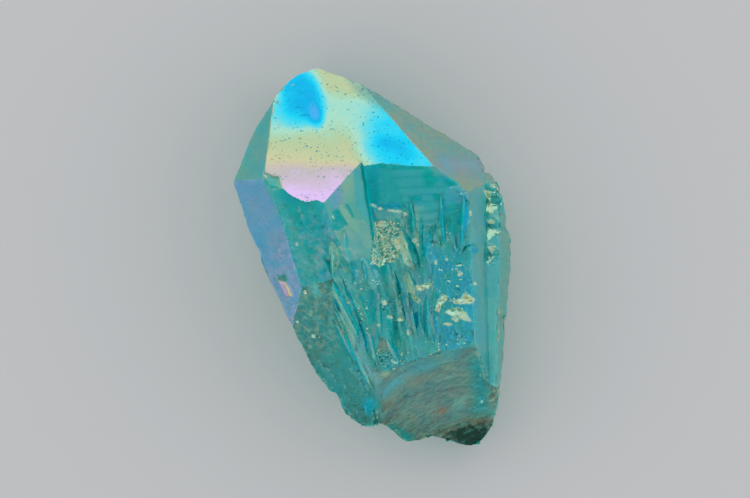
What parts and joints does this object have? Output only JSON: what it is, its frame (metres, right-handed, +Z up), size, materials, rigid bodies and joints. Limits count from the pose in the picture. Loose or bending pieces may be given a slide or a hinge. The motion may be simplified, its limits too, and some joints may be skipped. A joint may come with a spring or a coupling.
{
  "type": "aura quartz crystal",
  "caption": "Stubby quartz point with a broken base and a growth window in its front, coated with a thin iridescent blue-green metal film; it lies on a broad prism face.",
  "frame": {"origin": "on the face the crystal lies on, under the middle of its outline", "axes": "+Y towards the crystal's point, +Z up away from the face it lies on, +X to the right with the point at the top"},
  "size_m": [0.0428, 0.0588, 0.0263],
  "materials": {
    "coated_quartz": "glossy blue-green metal film that shifts to blue, gold and pink"
  },
  "bodies": {
    "root": {"crystal": "coated_quartz"}
  },
  "joints": []
}
